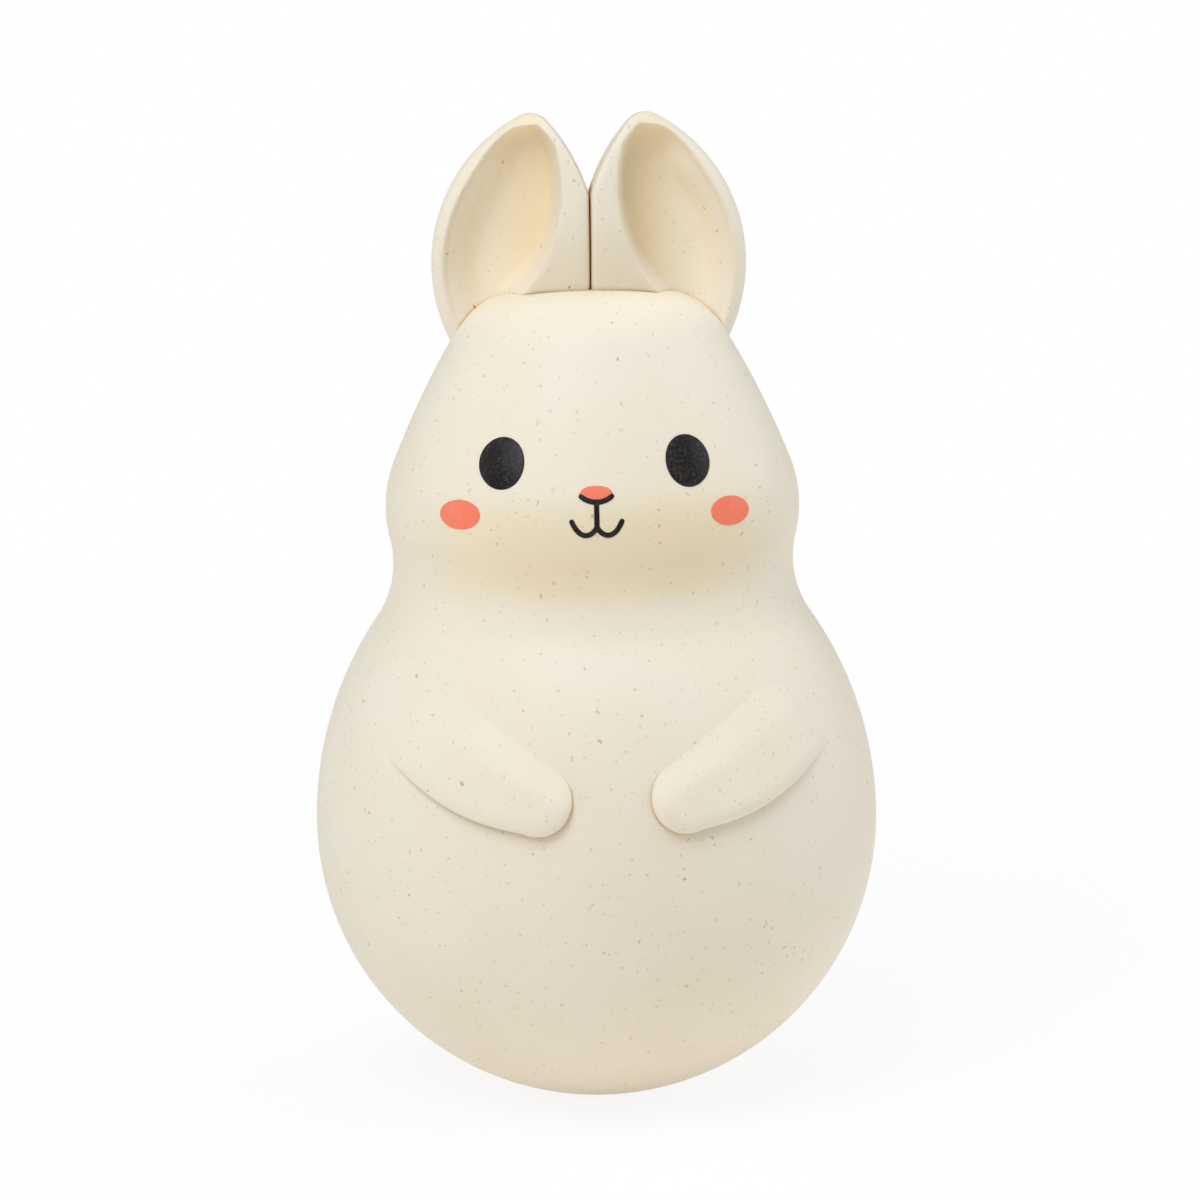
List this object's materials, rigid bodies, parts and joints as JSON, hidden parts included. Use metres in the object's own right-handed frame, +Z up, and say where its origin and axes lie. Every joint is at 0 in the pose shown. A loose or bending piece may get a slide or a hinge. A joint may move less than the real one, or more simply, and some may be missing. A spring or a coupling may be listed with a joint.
{
  "type": "roly poly toy",
  "caption": "Hollow rabbit-shaped wobble toy with a weighted round base, upright ears, a printed face and a hanging striker among chime rods inside.",
  "frame": {"origin": "middle of the small flat under the round base, on the seam between the two shells", "axes": "+Z up through the head; the face looks along -Y; +X is the toy's own left"},
  "size_m": [0.08, 0.0813, 0.1409],
  "materials": {
    "shell": "matte cream bioplastic with fine brown specks",
    "black_ink": "satin printed ink",
    "coral_ink": "matte printed ink",
    "ballast": "as cast",
    "steel": "plain, drawn or zinc plated",
    "white_plastic": "moulded, matte",
    "beech": "turned and waxed"
  },
  "bodies": {
    "toy": {"front_shell": "shell", "back_shell": "shell", "left_ear": "shell", "right_ear": "shell", "left_eye": "black_ink", "right_eye": "black_ink", "left_cheek": "coral_ink", "right_cheek": "coral_ink", "nose": "coral_ink", "mouth": "black_ink", "case_screws": "steel", "screw_plugs": "shell", "ballast_weight": "ballast", "chime_tray": "white_plastic", "ballast_screws": "steel", "chime_rod_1": "steel", "chime_rod_2": "steel", "chime_rod_3": "steel", "chime_rod_4": "steel", "chime_bridge": "white_plastic", "bridge_screws": "steel"},
    "hanger": {"hanger_ring": "steel"},
    "striker": {"striker_wire": "steel", "striker_ball": "beech"}
  },
  "joints": [
    {"name": "hanger_swing", "type": "hinge", "parent": "toy", "child": "hanger", "pos_m": [0, 0, 0.0595], "axis": [1, 0, 0], "range_deg": [-21, 21]},
    {"name": "striker_swing", "type": "hinge", "parent": "hanger", "child": "striker", "pos_m": [0, 0, 0.0555], "axis": [0, 1, 0], "range_deg": [-25, 25]}
  ]
}
